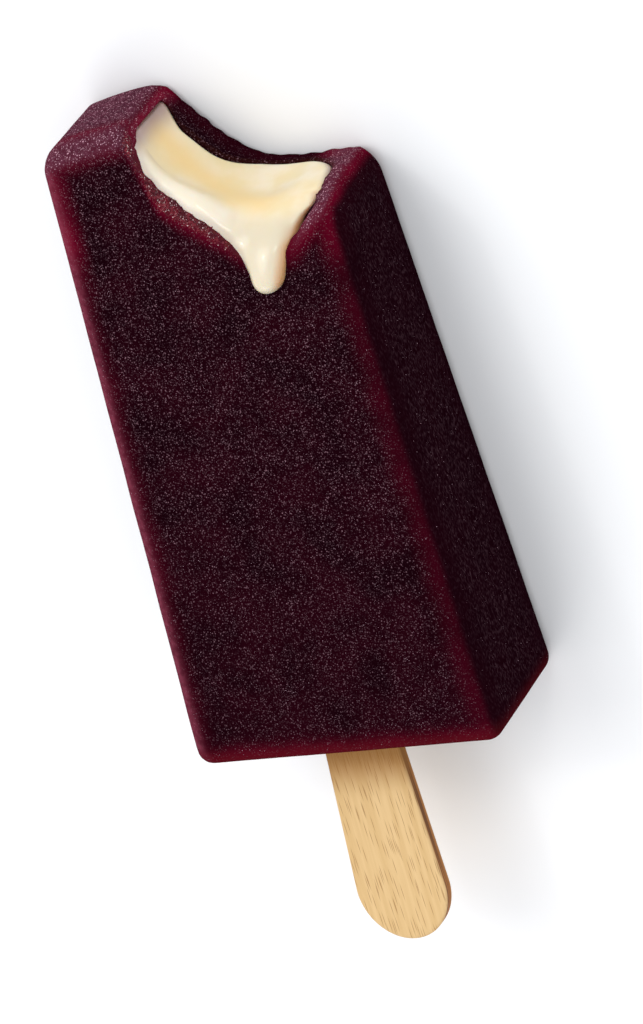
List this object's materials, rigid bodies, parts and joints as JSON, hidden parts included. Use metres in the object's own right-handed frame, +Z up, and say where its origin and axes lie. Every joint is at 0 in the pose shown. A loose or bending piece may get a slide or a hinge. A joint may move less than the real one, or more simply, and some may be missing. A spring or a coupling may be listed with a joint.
{
  "type": "filled ice pop",
  "caption": "Tapered block of dark fruit ice round a sweet cream core on a flat contoured wooden stick, bitten open at the tip, with cream run over the lip in a drip.",
  "frame": {"origin": "the middle of the length of the flat back of the ice block, on its centre line, where the pop rests", "axes": "+X across the pop to its bitten shoulder, +Y along it from the stick to the tip, +Z up out of the front face"},
  "size_m": [0.05, 0.1364, 0.0248],
  "materials": {
    "fruit_ice": "frosted, slightly translucent",
    "sweet_cream": "wet gloss, translucent",
    "plain_wood": "smooth, uncoated"
  },
  "bodies": {
    "root": {"ice_block": "fruit_ice", "cream_filling": "sweet_cream", "stick": "plain_wood"}
  },
  "joints": []
}
